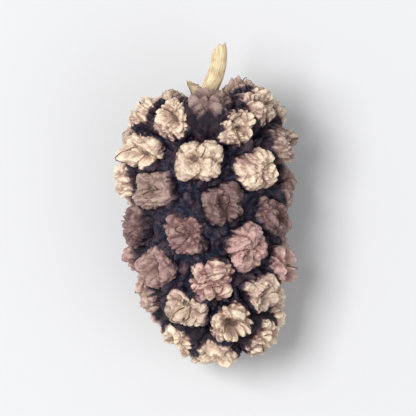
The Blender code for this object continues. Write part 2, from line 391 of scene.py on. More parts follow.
def drupelet_surface(dimple, draw):
    """Points of every knob about its own middle, with what its colours follow.

    A unit ball is squared off, lobed by the cosine of four times the turn, narrowed under its
    waist and hollowed in the cap, as in the solid fruit. To that come tepals of uneven height
    that overlap by turns, the seams between them, a raised rim round the hollow, which is drawn
    out to a slit in some and has a pit in others, a dent in one shoulder, folds down the sides
    that run over the rim, and creases everywhere."""
    # The rings of a unit ball, from its top to its foot.
    count = len(dimple)
    down = np.linspace(0, 1, KNOB_RINGS)[None, :, None]
    root_share = LAST_RING - FIRST_RING - CAP_RINGS_SHARE
    polar = math.pi * (FIRST_RING + CAP_RINGS_SHARE * down + root_share * down**ROOT_SPACING)
    turn = np.linspace(0, 2 * math.pi, KNOB_SIDES, endpoint=False)[None, None, :]
    side = np.sin(polar)
    rise = np.cos(polar) + 0 * turn
    ball = np.stack([side * np.cos(turn), side * np.sin(turn), rise], axis=-1)
    ball = np.repeat(ball, count, axis=0)

    # The four tepals' heights, and the seams and margins where each lies over the next.
    quarter = math.pi / 2 * np.arange(4)
    height = draw.uniform(-1, 1, (count, 4))
    weight = np.clip(np.cos(turn[..., None] - quarter), 0, 1) ** 2
    tepal = (weight * height[:, None, None, :]).sum(axis=3)

    phase = draw.uniform(0, 2 * math.pi, (count, 2, 1, 1))
    sway = SEAM_SWAY * np.sin(SEAM_SWAY_WAVES * polar + phase[:, 0])
    leaf = np.cos(2 * (turn + sway + TEPAL_SPREAD * np.sin(turn + phase[:, 1])))
    on_cap = eased(side, *TEPAL_START) * (1 - eased(polar, *TEPAL_END))
    parted = draw.uniform(*TEPAL_PARTING, (count, 1, 1)) * on_cap
    seam = bell(leaf, -SEAM_SIDE, SEAM_WIDTH) * parted
    margin = bell(leaf, SEAM_SIDE, MARGIN_WIDTH) * parted
    overlap = np.tanh(OVERLAP_SHARPNESS * leaf) * parted

    # How far each point is from the middle of the hollow, or of the slit, and the rim round it.
    offset = draw.uniform(-HOLLOW_OFFSET, HOLLOW_OFFSET, (count, 2, 1, 1))
    slit_draw = np.random.default_rng(SLIT_SEED)
    stretch = slit_draw.uniform(*SLIT_STRETCH, (count, 1, 1))
    slit_turn = math.pi / 4 * slit_draw.integers(0, 4, (count, 1, 1))
    slit_turn = slit_turn + slit_draw.uniform(-SLIT_SPIN, SLIT_SPIN, (count, 1, 1))
    east, north = ball[..., 0] - offset[:, 0], ball[..., 1] - offset[:, 1]
    along_slit = (east * np.cos(slit_turn) + north * np.sin(slit_turn)) / stretch
    across_slit = (north * np.cos(slit_turn) - east * np.sin(slit_turn)) * np.sqrt(stretch)
    from_hollow = np.hypot(along_slit, across_slit)
    rim_place = RIM_PLACE + RIM_LOBE * np.cos(4 * turn) + RIM_UNEVEN * tepal
    on_tepal = RIM_AT_SEAMS + (1 - RIM_AT_SEAMS) * np.abs(leaf)
    rim = bell(from_hollow, rim_place, RIM_WIDTH) * (rise > 0) * on_tepal

    # Folds, a dent in one shoulder, swells, and coarse and fine creases, each with its own draw.
    fold = (1 - radial_folds(turn, FOLD_COUNTS, draw, count)) ** 2
    fine_fold = (1 - radial_folds(turn, FINE_FOLD_COUNTS, draw, count)) ** 2
    on_side = eased(polar, *SIDE_START)
    on_shoulder = eased(side, *SHOULDER_START) * (1 - on_side)
    dent_turn = draw.uniform(0, 2 * math.pi, (count, 1, 1))
    toward_dent = side * np.cos(turn - dent_turn) * DENT_OUTWARD + rise * DENT_UPWARD
    dent = bell(toward_dent, 1, DENT_WIDTH) * draw.uniform(*DENT_STRENGTH, (count, 1, 1)).clip(0)
    lump = lumps(ball, draw, LUMP_WAVE)
    worn = draw.uniform(*CREASE_STRENGTH, (count, 1, 1))
    crease = (1 - crumple(ball, draw, CREASE_WAVE)) ** 2 * worn
    fine = (1 - crumple(ball, draw, FINE_WAVE)) ** 2

    # The hollow's depth, with a pit where it is open, and never deeper than its limit.
    hollow_width = HOLLOW_NARROWEST + HOLLOW_AT_SEAMS * (1 - np.abs(leaf)) ** 2
    hollow_width = hollow_width * DIMPLE_WIDTH
    inside = bell(from_hollow, 0, HOLLOW_SLOPE * hollow_width) * (rise > 0)
    hollow = dimple[:, None, None] * bell(from_hollow, 0, hollow_width) * (rise > 0)
    opened = eased(dimple, *OPEN_HOLLOW)[:, None, None]
    pit_place = from_hollow * (1 + PIT_LOBE * leaf)
    hollow = hollow + PIT_DEPTH * opened * bell(pit_place, 0, PIT_WIDTH) * (rise > 0)
    hollow = HOLLOW_LIMIT * np.tanh(hollow / HOLLOW_LIMIT)

    # The squared and lobed ball: its spread to the sides, its lift, and the swell of both.
    spread = side**SQUARENESS * (1 + LOBE * side * np.cos(4 * turn))
    spread = spread * (1 - ROOT_TAPER * np.clip(WAIST - rise, 0, 1))
    level = np.sign(rise) * np.abs(rise) ** SQUARENESS
    lift = level - hollow + RIM_HEIGHT * rim
    lift = lift + TEPAL_UNEVEN * tepal * eased(side, *TEPAL_RISE) * (rise > 0) * rise
    swell = 1 + LUMP_HEIGHT * lump - SEAM_DEPTH * seam + OVERLAP * overlap - DENT_DEPTH * dent
    swell -= FOLD_DEPTH * fold * on_side + PUCKER_DEPTH * fold * on_shoulder
    swell -= FINE_FOLD_DEPTH * fine_fold * (FINE_FOLD_ON_CAP + (1 - FINE_FOLD_ON_CAP) * on_side)
    worn_hollow = HOLLOW_FOLD * fine_fold * eased(side, *HOLLOW_FOLD_START)
    worn_hollow = worn_hollow + crease + HOLLOW_FINE * fine
    lift = lift - HOLLOW_CRUMPLE * worn_hollow * inside
    swell -= CREASE_DEPTH * crease * (1 - CREASE_LOST_ON_SIDE * on_side) + FINE_DEPTH * fine
    round_it = [spread * np.cos(turn) * swell, spread * np.sin(turn) * swell]
    knob = np.stack([*round_it, lift * swell], axis=-1)

    # What the colours follow: 1 on a crest, more on the rim and the tepals' margins, and less in a
    # valley, for painted highlight on the crests and painted shade in the valleys, and where the
    # pit is, for painted shade in the pit.
    valley = VALLEY_SEAM * seam + fold * (VALLEY_FOLD * on_side + VALLEY_PUCKER * on_shoulder)
    valley = valley + VALLEY_FINE_FOLD * fine_fold + crease + VALLEY_FINE * fine
    crest = np.clip(CREST_LEVEL + CREST_RAISED * (rim + margin) - CREST_SUNK * valley, 0, 1)
    pit = bell(pit_place, 0, PIT_SHADE_WIDTH * hollow_width) * (rise > 0) * opened
    values = {"top": np.clip(level, 0, 1) + 0 * crest, "crest": crest, "pit": pit}
    return knob, values


def in_cleft(points, middle, stance):
    """How deep in a cleft each point of a knob lies: 1 against a neighbouring knob, 0 clear of it.

    The point is taken back into each near neighbour's unit ball, and the least distance from
    the middle of one tells how close the point comes to its skin."""
    apart = np.linalg.norm(middle[:, None] - middle[None], axis=2)
    near = np.argsort(apart, axis=1)[:, 1 : NEIGHBOURS + 1]
    offset = points[:, None] - middle[near][:, :, None, None, :]
    unit = np.einsum("nmij,nmrsj->nmrsi", np.linalg.inv(stance)[near], offset)
    return 1 - eased(np.linalg.norm(unit, axis=4).min(axis=1), *CLEFT_REACH)


def shells_mesh(name, rings, ends, values):
    """Closed shells, each a grid of rings round an axis with one point at either end of it.

    rings is shells x rings x sides x 3, ends is shells x 2 x 3, and each of the named values
    has a number for each ring point, and takes the first and last ring's mean at the ends."""
    count, depth, sides = rings.shape[:3]
    loop = np.arange(sides)
    after = (loop + 1) % sides
    row = np.arange(depth - 1)[:, None] * sides
    quads = np.stack([row + loop, row + sides + loop, row + sides + after, row + after], axis=-1)
    head, foot = depth * sides, depth * sides + 1
    last = (depth - 1) * sides
    top_fan = np.stack([np.full(sides, head), loop, after], axis=-1)
    end_fan = np.stack([np.full(sides, foot), last + after, last + loop], axis=-1)
    first = np.arange(count)[:, None] * (depth * sides + 2)
    quads = (first + quads.reshape(1, -1)).ravel()
    fans = (first + np.concatenate([top_fan, end_fan]).reshape(1, -1)).ravel()
    points = np.concatenate([rings.reshape(count, -1, 3), ends], axis=1).reshape(-1, 3)

    made = bpy.data.meshes.new(name)
    made.vertices.add(len(points))
    made.vertices.foreach_set("co", points.astype(np.float32).ravel())
    made.loops.add(len(quads) + len(fans))
    made.loops.foreach_set("vertex_index", np.concatenate([quads, fans]).astype(np.int32))
    made.polygons.add(len(quads) // 4 + len(fans) // 3)
    starts = np.concatenate([np.arange(0, len(quads), 4), len(quads) + np.arange(0, len(fans), 3)])
    made.polygons.foreach_set("loop_start", starts.astype(np.int32))
    made.update(calc_edges=True)
    made.validate()
    made.shade_smooth()
    for label, value in values.items():
        value = np.broadcast_to(value, rings.shape[:3])
        tips = np.stack([value[:, 0].mean(axis=1), value[:, -1].mean(axis=1)], axis=1)
        full = np.concatenate([value.reshape(count, -1), tips], axis=1)
        made.attributes.new(label, "FLOAT", "POINT").data.foreach_set("value", full.ravel())
    return made


def add_piece(name, mesh, material, replaced):
    """Puts a finished mesh in the scene as a piece that stands for a node of the frame."""
    mesh.materials.append(material)
    piece = bpy.data.objects.new(name, mesh)
    bpy.context.scene.collection.objects.link(piece)
    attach(piece, "root")
    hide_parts(replaced)
    return piece


def add_node(tree, kind, feeds, **settings):
    """A shader node with its settings, whose inputs take a value or another node's output."""
    made = tree.nodes.new(kind)
    for name, value in settings.items():
        setattr(made, name, value)
    for socket, value in feeds.items():
        if isinstance(value, bpy.types.NodeSocket):
            tree.links.new(value, made.inputs[socket])
        else:
            made.inputs[socket].default_value = value
    return made


def read_value(tree, name):
    """The number that the mesh holds under that name."""
    return add_node(tree, "ShaderNodeAttribute", {}, attribute_name=name).outputs["Fac"]


def noise(tree, size, detail=3.0, roughness=0.6):
    """Cloudy noise from 0 to 1: blotches of about that size, and finer ones laid over them."""
    place = add_node(tree, "ShaderNodeTexCoord", {}).outputs["Object"]
    feeds = {"Vector": place, "Scale": 1 / size, "Detail": detail, "Roughness": roughness}
    return add_node(tree, "ShaderNodeTexNoise", feeds).outputs["Fac"]


def maths(tree, operation, first, second):
    """One sum, difference or product of two values or numbers."""
    return add_node(tree, "ShaderNodeMath", {0: first, 1: second}, operation=operation).outputs[0]


def graded(tree, value, low, high, start=0.0, end=1.0):
    """A value's range from low to high, eased into the range from start to end."""
    feeds = {"Value": value, "From Min": low, "From Max": high, "To Min": start, "To Max": end}
    return add_node(tree, "ShaderNodeMapRange", feeds, interpolation_type="SMOOTHSTEP").outputs[0]


def mixed(tree, share, first, second, kind="MIX"):
    """Two colours mixed by a share, or the second one multiplied on to the first."""
    first = (*first, 1) if isinstance(first, tuple) else first
    second = (*second, 1) if isinstance(second, tuple) else second
    feeds = {0: share, 6: first, 7: second}
    return add_node(tree, "ShaderNodeMix", feeds, data_type="RGBA", blend_type=kind).outputs[2]


def add_bump(tree, shader, relief, depth):
    """Turns a height from 0 to 1 into a relief of that depth on the surface."""
    bump = add_node(tree, "ShaderNodeBump", {"Height": relief, "Distance": depth})
    tree.links.new(bump.outputs["Normal"], shader.inputs["Normal"])


# The skin's colours. A blotch is its size, how many finer sizes are laid over it and, in one,
# how strong those are. A range is where a value starts and ends to count, and then what it gives
# there, if that isn't 0 and 1.
JUICE_BLACK = (0.011, 0.011, 0.029)
JUICE_RED = (0.070, 0.039, 0.054)
# Painted highlight on the crests of the knobs' sides and of the flesh.
FLANK_HIGHLIGHT = (0.21, 0.145, 0.155)
SHOULDER = (0.27, 0.17, 0.165)
CREAM = (0.94, 0.79, 0.585)
ROSE = (0.63, 0.395, 0.365)
STAIN = (0.44, 0.27, 0.17)
# Painted shade in the pits.
PIT_SHADE = (0.075, 0.042, 0.040)
# Painted shade in the creases and valleys.
CREASE_SHADE = (0.46, 0.36, 0.37)
FINE_GRAIN = (0.15 * MM, 3.0)
FLANK_BLOTCH = (0.5 * MM, 3.0)
FLANK_RANGE = (0.42, 0.68)
FLANK_HIGHLIGHT_RANGE = (0.65, 1.0, 0.0, 0.7)
# Painted shade in the clefts between knobs: how it grows down the side, its blotches, its strength
# and its offset.
CLEFT_SHADE_UP_THE_SIDE = (0.3, 1.0, 1.1, 0.6)
CLEFT_SHADE_BLOTCH = (1.1 * MM, 3.0)
CLEFT_SHADE_RANGE = (0.30, 0.58, 0.25, 1.0)
CLEFT_SHADE_STRENGTH = 1.12
CLEFT_SHADE_OFFSET = 0.10
MOTTLE = (0.8 * MM, 4.0)
PALE_BY_MOTTLE = 0.6
# Painted highlight: how much paler a crest is painted.
HIGHLIGHT_BY_CREST = 0.35
PALE_BY_GRAIN = 0.45
PALE_RANGE = (0.85, 1.42)
ROSE_BLOTCH = (0.7 * MM, 4.0)
ROSE_BLOTCH_RANGE = (0.34, 0.66, -0.40, 0.40)
ROSE_RANGE = (0.0, 1.0, 0.12, 1.0)
STAIN_BLOTCH = (0.45 * MM, 5.0)
STAIN_RANGE = (0.55, 0.74, 0.0, 0.6)
SHOULDER_RANGE = (0.0, 0.60)
CAP_RANGE = (0.30, 1.0)
CREASE_SHADE_RANGE = (0.76, 0.12)
PIT_SPECKLE = (0.22 * MM, 5.0, 0.75)
PIT_BY_SPECKLE = 1.3
PIT_OFF_CREST = 0.55
PIT_RANGE = (0.72, 1.12, 0.0, 0.75)
GRAIN_SHADE = (0.30, 0.62, 0.86, 1.12)
GLOSS_RANGE = (0.4, 1.2, 0.42, 0.74)
SKIN_ROUGHNESS = 0.6
SKIN_WRINKLE = (0.24 * MM, 2.0)
SKIN_GRAIN = (0.08 * MM, 3.0)
SKIN_RELIEF = 0.055 * MM
DRY_SPECULAR = 0.3


def dried_skin_material():
    """Pale on the caps and nearly black down the sides, cream at both ends of the fruit and
    mauve between them, darker in creases, hollows and the clefts between knobs as painted shade,
    paler on crests as painted highlight, and matt with a little gloss on the sides."""
    material, tree, shader = new_material("dried_skin", SKIN_ROUGHNESS)
    top = read_value(tree, "top")
    crest = read_value(tree, "crest")
    mottle = noise(tree, *MOTTLE)
    grain = noise(tree, *FINE_GRAIN)
    # Crests are painted paler as a highlight, and the grain varies the paleness as well.
    crest_highlight_and_grain = maths(tree, "MULTIPLY", crest, HIGHLIGHT_BY_CREST)
    crest_highlight_and_grain = maths(tree, "ADD", crest_highlight_and_grain, maths(tree, "MULTIPLY", grain, PALE_BY_GRAIN))
    flank = graded(tree, noise(tree, *FLANK_BLOTCH), *FLANK_RANGE)
    flank = mixed(tree, flank, JUICE_BLACK, JUICE_RED)
    # The crests down the sides are painted paler: painted highlight.
    flank = mixed(tree, graded(tree, crest, *FLANK_HIGHLIGHT_RANGE), flank, FLANK_HIGHLIGHT)
    # The skin is darkened where it lies in a cleft against a neighbouring knob, more low on its
    # side and in blotches: painted shade between the drupelets.
    cleft_shade = graded(tree, top, *CLEFT_SHADE_UP_THE_SIDE)
    cleft_shade = maths(tree, "MULTIPLY", read_value(tree, "cleft"), cleft_shade)
    cleft_shade_blotch = graded(tree, noise(tree, *CLEFT_SHADE_BLOTCH), *CLEFT_SHADE_RANGE)
    cleft_shade = maths(tree, "MULTIPLY", cleft_shade, cleft_shade_blotch)
    cleft_shade = maths(tree, "MULTIPLY", cleft_shade, CLEFT_SHADE_STRENGTH)
    cleft_shade = maths(tree, "SUBTRACT", cleft_shade, CLEFT_SHADE_OFFSET)
    pale = maths(tree, "SUBTRACT", top, cleft_shade)
    pale = maths(tree, "ADD", pale, maths(tree, "MULTIPLY", mottle, PALE_BY_MOTTLE))
    pale = maths(tree, "ADD", pale, crest_highlight_and_grain)
    pale = maths(tree, "MULTIPLY", graded(tree, pale, *PALE_RANGE), read_value(tree, "tone"))
    rose_blotch = graded(tree, noise(tree, *ROSE_BLOTCH), *ROSE_BLOTCH_RANGE)
    rosy = maths(tree, "ADD", read_value(tree, "rose"), rose_blotch)
    rosy = graded(tree, rosy, *ROSE_RANGE)
    cap = mixed(tree, rosy, CREAM, ROSE)
    stain = graded(tree, noise(tree, *STAIN_BLOTCH), *STAIN_RANGE)
    cap = mixed(tree, stain, cap, STAIN)
    colour = mixed(tree, graded(tree, pale, *SHOULDER_RANGE), flank, SHOULDER)
    colour = mixed(tree, graded(tree, pale, *CAP_RANGE), colour, cap)
    # Creases and valleys are darkened: painted shade.
    colour = mixed(tree, graded(tree, crest, *CREASE_SHADE_RANGE), colour, CREASE_SHADE, "MULTIPLY")
    # The pit is painted dark, speckled round its edge: painted shade in the pit.
    speckle = maths(tree, "MULTIPLY", noise(tree, *PIT_SPECKLE), PIT_BY_SPECKLE)
    pit = maths(tree, "ADD", read_value(tree, "pit"), speckle)
    pit = maths(tree, "SUBTRACT", pit, maths(tree, "MULTIPLY", crest, PIT_OFF_CREST))
    colour = mixed(tree, graded(tree, pit, *PIT_RANGE), colour, PIT_SHADE)
    colour = mixed(tree, 1.0, colour, graded(tree, grain, *GRAIN_SHADE), "MULTIPLY")
    tree.links.new(colour, shader.inputs["Base Color"])
    gloss = graded(tree, maths(tree, "ADD", pale, grain), *GLOSS_RANGE)
    tree.links.new(gloss, shader.inputs["Roughness"])
    relief = maths(tree, "ADD", noise(tree, *SKIN_WRINKLE), noise(tree, *SKIN_GRAIN))
    add_bump(tree, shader, relief, SKIN_RELIEF)
    shader.inputs["Specular IOR Level"].default_value = DRY_SPECULAR
    return material


# Each cap's own tone, palest at the two ends of the fruit and dimmest round its middle, and how
# rosy it is, most in a band just on the tip's side of the middle.
TONE_SEED = 32556
TONE_MEAN = 0.68
TONE_SCATTER = 0.22
TONE_STALK_END = 0.22
TONE_TIP = 0.92
TONE_RANGE = (0.30, 1.0)
ROSE_PLACE = -0.10
ROSE_PEAK = 1.2
ROSE_FALL = 2.2
ROSE_SCATTER = 0.14
DRUPELET_GROUPS = ("tip_drupelets", "middle_drupelets", "stalk_end_drupelets")

middle, stance, dimple, place, outward = seat_drupelets()
detail_draw = np.random.default_rng(DETAIL_SEED)
knob, knob_values = drupelet_surface(dimple, detail_draw)
knob = np.einsum("nij,nrsj->nrsi", stance, knob) + middle[:, None, None, :]
knob[..., 2] = np.maximum(knob[..., 2], 0)
# The cleft value darkens the skin between neighbouring knobs in the colours: painted shade.
cleft_strength = detail_draw.uniform(*CLEFT_STRENGTH, (DRUPELETS, 1, 1))
knob_values["cleft"] = in_cleft(knob, middle, stance) * cleft_strength
knob_ends = np.stack([knob[:, 0].mean(axis=1), knob[:, -1].mean(axis=1)], axis=1)

tone_draw = np.random.default_rng(TONE_SEED)
tone = tone_draw.normal(TONE_MEAN, TONE_SCATTER, DRUPELETS)
tone = tone + TONE_STALK_END * np.clip(2 * place - 1, 0, 1)
tone = tone + TONE_TIP * np.clip(1 - 2 * place, 0, 1)
from_band = np.abs(fruit_profile(place)[0] * 2 / FRUIT_LENGTH - ROSE_PLACE)
rose = ROSE_PEAK - ROSE_FALL * from_band
rose = rose + tone_draw.uniform(-ROSE_SCATTER, ROSE_SCATTER, DRUPELETS)
for label, value in {"tone": tone.clip(*TONE_RANGE), "rose": rose.clip(0, 1)}.items():
    knob_values[label] = np.broadcast_to(value[:, None, None], knob.shape[:3])

skin = dried_skin_material()
group_ends = DRUPELETS * np.arange(len(DRUPELET_GROUPS) + 1) // len(DRUPELET_GROUPS)
for name, first, last in zip(DRUPELET_GROUPS, group_ends[:-1], group_ends[1:]):
    group_values = {label: value[first:last] for label, value in knob_values.items()}
    group_mesh = shells_mesh(name, knob[first:last], knob_ends[first:last], group_values)
    add_piece(name, group_mesh, skin, "fruit")


# The style threads: the two dried stigmas that each drupelet's flower left, brown and as thin as
# a hair. They come out of the hollow in the cap and lie curled over its rim, and many broke off.
STYLE_SEED = 5
STYLES_KEPT = 0.78
STYLE_STEPS = 16
STYLE_SIDES = 6
STYLE_RADIUS = 0.038 * MM
STYLE_TAPER = 0.45
STYLES_APART = (1.6, 3.6)
STYLE_REACH = (0.30, 0.74)
STYLE_CURL = 1.5
STYLE_CURL_POWER = 1.6
STYLE_ARCH = (0.03 * MM, 0.22 * MM)
STYLE_ARCH_POWER = 0.8
STYLE_HEADROOM = 5 * STYLE_RADIUS
STYLE_BROWN = (0.085, 0.045, 0.028)
STYLE_TAN = (0.36, 0.23, 0.13)
STYLE_ROUGHNESS = 0.6
STYLE_BLOTCH = 0.7 * MM
STYLE_RANGE = (0.40, 0.65)

# How many of its radii a thread lies under the skin at its start and clear of it at its end.
STYLE_SUNK = 1.0
STYLE_CLEAR = 2.0


def on_grid(grid, shell, ring, side):
    """Points between those of a grid of rings: the four nearest, weighted by how near they are."""
    low = np.clip(np.floor(ring).astype(int), 0, grid.shape[1] - 2)
    left = np.floor(side).astype(int)
    down, over = (ring - low)[..., None], (side - left)[..., None]
    left, right = left % grid.shape[2], (left + 1) % grid.shape[2]
    upper = grid[shell, low, left] * (1 - over) + grid[shell, low, right] * over
    lower = grid[shell, low + 1, left] * (1 - over) + grid[shell, low + 1, right] * over
    return upper * (1 - down) + lower * down


def tubes(route, above, radius, sides):
    """Rings round each route: a circle of its radius across the way that the route runs."""
    ahead = np.gradient(route, axis=1)
    ahead /= np.linalg.norm(ahead, axis=2, keepdims=True)
    across = np.cross(ahead, above)
    across /= np.linalg.norm(across, axis=2, keepdims=True)
    upward = np.cross(across, ahead)
    turn = np.linspace(0, 2 * math.pi, sides, endpoint=False)[None, None, :, None]
    spoke = across[:, :, None] * np.cos(turn) + upward[:, :, None] * np.sin(turn)
    return route[:, :, None] + spoke * radius[..., None, None]


style_draw = np.random.default_rng(STYLE_SEED)
owner = np.repeat(np.arange(DRUPELETS), 2)
kept = style_draw.random(len(owner)) < STYLES_KEPT
first_way = style_draw.uniform(0, 2 * math.pi, DRUPELETS)
apart = np.stack([np.zeros(DRUPELETS), style_draw.uniform(*STYLES_APART, DRUPELETS)], axis=1)
style_way = (first_way[:, None] + apart).ravel()[kept, None]
owner = owner[kept]
style_run = np.linspace(0, 1, STYLE_STEPS)[None, :]
reach = style_draw.uniform(*STYLE_REACH, (len(owner), 1))
curl = style_draw.uniform(-STYLE_CURL, STYLE_CURL, (len(owner), 1))
style_turn = style_way + curl * style_run**STYLE_CURL_POWER
style_ring = 1 + reach * style_run * KNOB_RINGS * CAP_RINGS_SHARE
style_route = on_grid(knob, owner[:, None], style_ring, style_turn / (2 * math.pi) * KNOB_SIDES)
arch = style_draw.uniform(*STYLE_ARCH, (len(owner), 1))
style_lift = (STYLE_SUNK + STYLE_CLEAR) * style_run - STYLE_SUNK
style_lift = arch * np.sin(math.pi * style_run**STYLE_ARCH_POWER) + STYLE_RADIUS * style_lift
style_out = outward[owner][:, None, :] + 0 * style_route
style_route = style_route + style_out * style_lift[..., None]
style_top = cad_box[1].z + STYLE_HEADROOM
style_route[..., 2] = np.clip(style_route[..., 2], 2 * STYLE_RADIUS, style_top)
style_girth = STYLE_RADIUS * (1 - STYLE_TAPER * style_run) + 0 * reach
style_rings = tubes(style_route, style_out, style_girth, STYLE_SIDES)[:, ::-1]
style_ends = np.stack([style_route[:, -1], style_route[:, 0]], axis=1)
thread, thread_tree, thread_shader = new_material("dried_style", STYLE_ROUGHNESS)
thread_mottle = graded(thread_tree, noise(thread_tree, STYLE_BLOTCH), *STYLE_RANGE)
thread_colour = mixed(thread_tree, thread_mottle, STYLE_BROWN, STYLE_TAN)
thread_tree.links.new(thread_colour, thread_shader.inputs["Base Color"])
style_mesh = shells_mesh("dried_styles", style_rings, style_ends, {})
add_piece("dried_styles", style_mesh, thread, "fruit")


# The body that the drupelets grow from: dried flesh, crumpled and nearly black with juice. It
# shows in the gaps between them, and lies deeper inside each knob so as not to come through it.
BODY_DEPTH = 0.85 * MM
BODY_RINGS = 210
BODY_SIDES = 220
BODY_ENDS = (0.004, 0.996)
BODY_WAVE = 2.5 / MM
BODY_CREASE = 0.62 * MM
BODY_FINE_WAVE = 7.0 / MM
BODY_FINE_CREASE = 0.15 * MM
UNDER_KNOB = 0.5 * MM
UNDER_REACH = (0.30, 0.85)
LOW_BY_CREASE = 0.7
FLESH_NAVY = (0.008, 0.010, 0.028)
FLESH_ROUGHNESS = 0.45
FLESH_BLOTCH = 0.6 * MM
FLESH_RANGE = (0.42, 0.66)
FLESH_CREST_RANGE = (0.35, 0.0, 0.0, 0.8)
FLESH_SPECKLE = 0.3 * MM
FLESH_GRAIN = 0.16 * MM
FLESH_RELIEF = 0.10 * MM

body_step = np.linspace(*BODY_ENDS, BODY_RINGS)[::-1, None]
body_angle = np.linspace(0, 2 * math.pi, BODY_SIDES, endpoint=False)[None, :]
body_step, body_angle = np.broadcast_arrays(body_step, body_angle)
smooth_body = fruit_skin(body_step, body_angle, BODY_DEPTH)
body_crease = (1 - crumple(smooth_body[None], detail_draw, BODY_WAVE)[0]) ** 2
body_fine = (1 - crumple(smooth_body[None], detail_draw, BODY_FINE_WAVE)[0]) ** 2
body_depth = BODY_DEPTH + BODY_CREASE * body_crease + BODY_FINE_CREASE * body_fine
in_ball = np.einsum("nij,rsnj->rsni", np.linalg.inv(stance), smooth_body[:, :, None] - middle)
in_ball = np.linalg.norm(in_ball, axis=3).min(axis=2)
body_depth = body_depth + UNDER_KNOB * (1 - eased(in_ball, *UNDER_REACH))
body = fruit_skin(body_step, body_angle, body_depth)
body_ends = np.stack([body[0].mean(axis=0), body[-1].mean(axis=0)])
flesh, flesh_tree, flesh_shader = new_material("dried_flesh", FLESH_ROUGHNESS)
flesh_mottle = graded(flesh_tree, noise(flesh_tree, FLESH_BLOTCH), *FLESH_RANGE)
flesh_colour = mixed(flesh_tree, flesh_mottle, FLESH_NAVY, JUICE_RED)
# Paler, speckled, on the crests of the crumpled flesh: painted highlight.
flesh_crest_highlight = graded(flesh_tree, read_value(flesh_tree, "low"), *FLESH_CREST_RANGE)
flesh_crest_highlight = maths(flesh_tree, "MULTIPLY", flesh_crest_highlight, noise(flesh_tree, FLESH_SPECKLE))
flesh_colour = mixed(flesh_tree, flesh_crest_highlight, flesh_colour, FLANK_HIGHLIGHT)
flesh_tree.links.new(flesh_colour, flesh_shader.inputs["Base Color"])
add_bump(flesh_tree, flesh_shader, noise(flesh_tree, FLESH_GRAIN), FLESH_RELIEF)
flesh_shader.inputs["Specular IOR Level"].default_value = DRY_SPECULAR
body_low = LOW_BY_CREASE * body_crease + (1 - LOW_BY_CREASE) * body_fine
body_mesh = shells_mesh("fruit_body", body[None], body_ends[None], {"low": body_low[None]})
add_piece("fruit_body", body_mesh, flesh, "fruit")


# The stalk: thin dry wood with fine ridges along it. It grows out of a small collar on the body,
# is thicker at its foot and at its torn end, and has dried to a pale straw colour.
STALK_RADIUS = 0.52 * MM
STALK_LENGTH = 5.2 * MM
CORE_DEPTH = 1.50 * MM
STALK_SEAT_DEPTH = 0.9 * MM
STALK_STRAIGHT = 0.4
STALK_PITCH = math.radians(38)
STALK_HEADING = math.radians(2)
STALK_SWING = math.radians(27)
STALK_WAIST = 0.88
STALK_STEPS = 90
STALK_SIDES = 120
COLLAR_PLACE = 0.20
COLLAR_WIDTH = 0.09
COLLAR_SWELL = 0.35
KNOT_WAVES = 9
KNOT_SWELL = 0.05
FLATTENING = 0.04
FLATTENING_TWIST = 5
END_PINCH = 0.18
END_PINCH_POWER = 30
TORN_END = 0.22 * MM
TORN_POWER = 16
TORN_FINE = 0.35
TORN_FINE_WAVES = 5
END_HOLLOW = 0.10 * MM
STRAW = (0.88, 0.74, 0.48)
STRAW_DARK = (0.46, 0.31, 0.16)
STALK_FOOT_COLOUR = (0.24, 0.13, 0.07)
STALK_FOOT_RANGE = (0.50, 0.22)
STALK_ROUGHNESS = 0.65
STALK_BLOTCH = 0.6 * MM
STALK_BLOTCH_RANGE = (0.28, 0.52, 0.3, 1.0)
GRAIN_LINES = 7.0
GRAIN_DETAIL = 4.0
GRAIN_RANGE = (0.36, 0.60, 0.35, 1.0)
# Painted shade in the grooves between the stalk's ridges.
GROOVE_SHADE_RANGE = (0.0, 0.7, 0.45, 1.0)
STALK_RELIEF = 0.06 * MM

# The ridges and the finer fibres between them. Their twists, in radians from the stalk's foot
# to its end, turn them slowly round it, and their sways bend them.
STALK_RIDGES = 9
RIDGE_DEPTH = 0.20
RIDGE_TWIST = 0.5
RIDGE_SWAY = 0.5
RIDGE_SWAY_WAVES = 3
RIDGE_WORN = 0.45
RIDGE_WORN_TWIST = 4
RIDGE_SHARE = 0.6
FIBRES = 25
FIBRE_DEPTH = 0.045
FIBRE_TWIST = 0.35
FIBRE_SWAY = 0.8
FIBRE_SWAYS_ROUND = 3
FIBRE_SWAYS_ALONG = 6


def stalk_route(steps):
    """Points of the stalk: straight out of its socket, a swing to one side, then straightening."""
    run = np.linspace(0, 1, steps)
    free = np.clip((run - STALK_STRAIGHT) / (1 - STALK_STRAIGHT), 0, 1)
    pitch = STALK_PITCH * (1 - free)
    heading = STALK_HEADING * (1 - free) + STALK_SWING * np.sin(math.pi * np.sqrt(free))
    stride = np.stack(
        [np.cos(pitch) * np.sin(heading), np.cos(pitch) * np.cos(heading), np.sin(pitch)], axis=1
    )
    strides = (stride[1:] + stride[:-1]) / 2 * STALK_LENGTH / (steps - 1)
    foot_y = FRUIT_LENGTH / 2 - CORE_DEPTH - STALK_SEAT_DEPTH
    foot = np.array([SIDE_BEND + FRUIT_MIDDLE[0], foot_y + FRUIT_MIDDLE[1], axis_height(foot_y)])
    return foot + np.concatenate([np.zeros((1, 3)), np.cumsum(strides, axis=0)]), stride


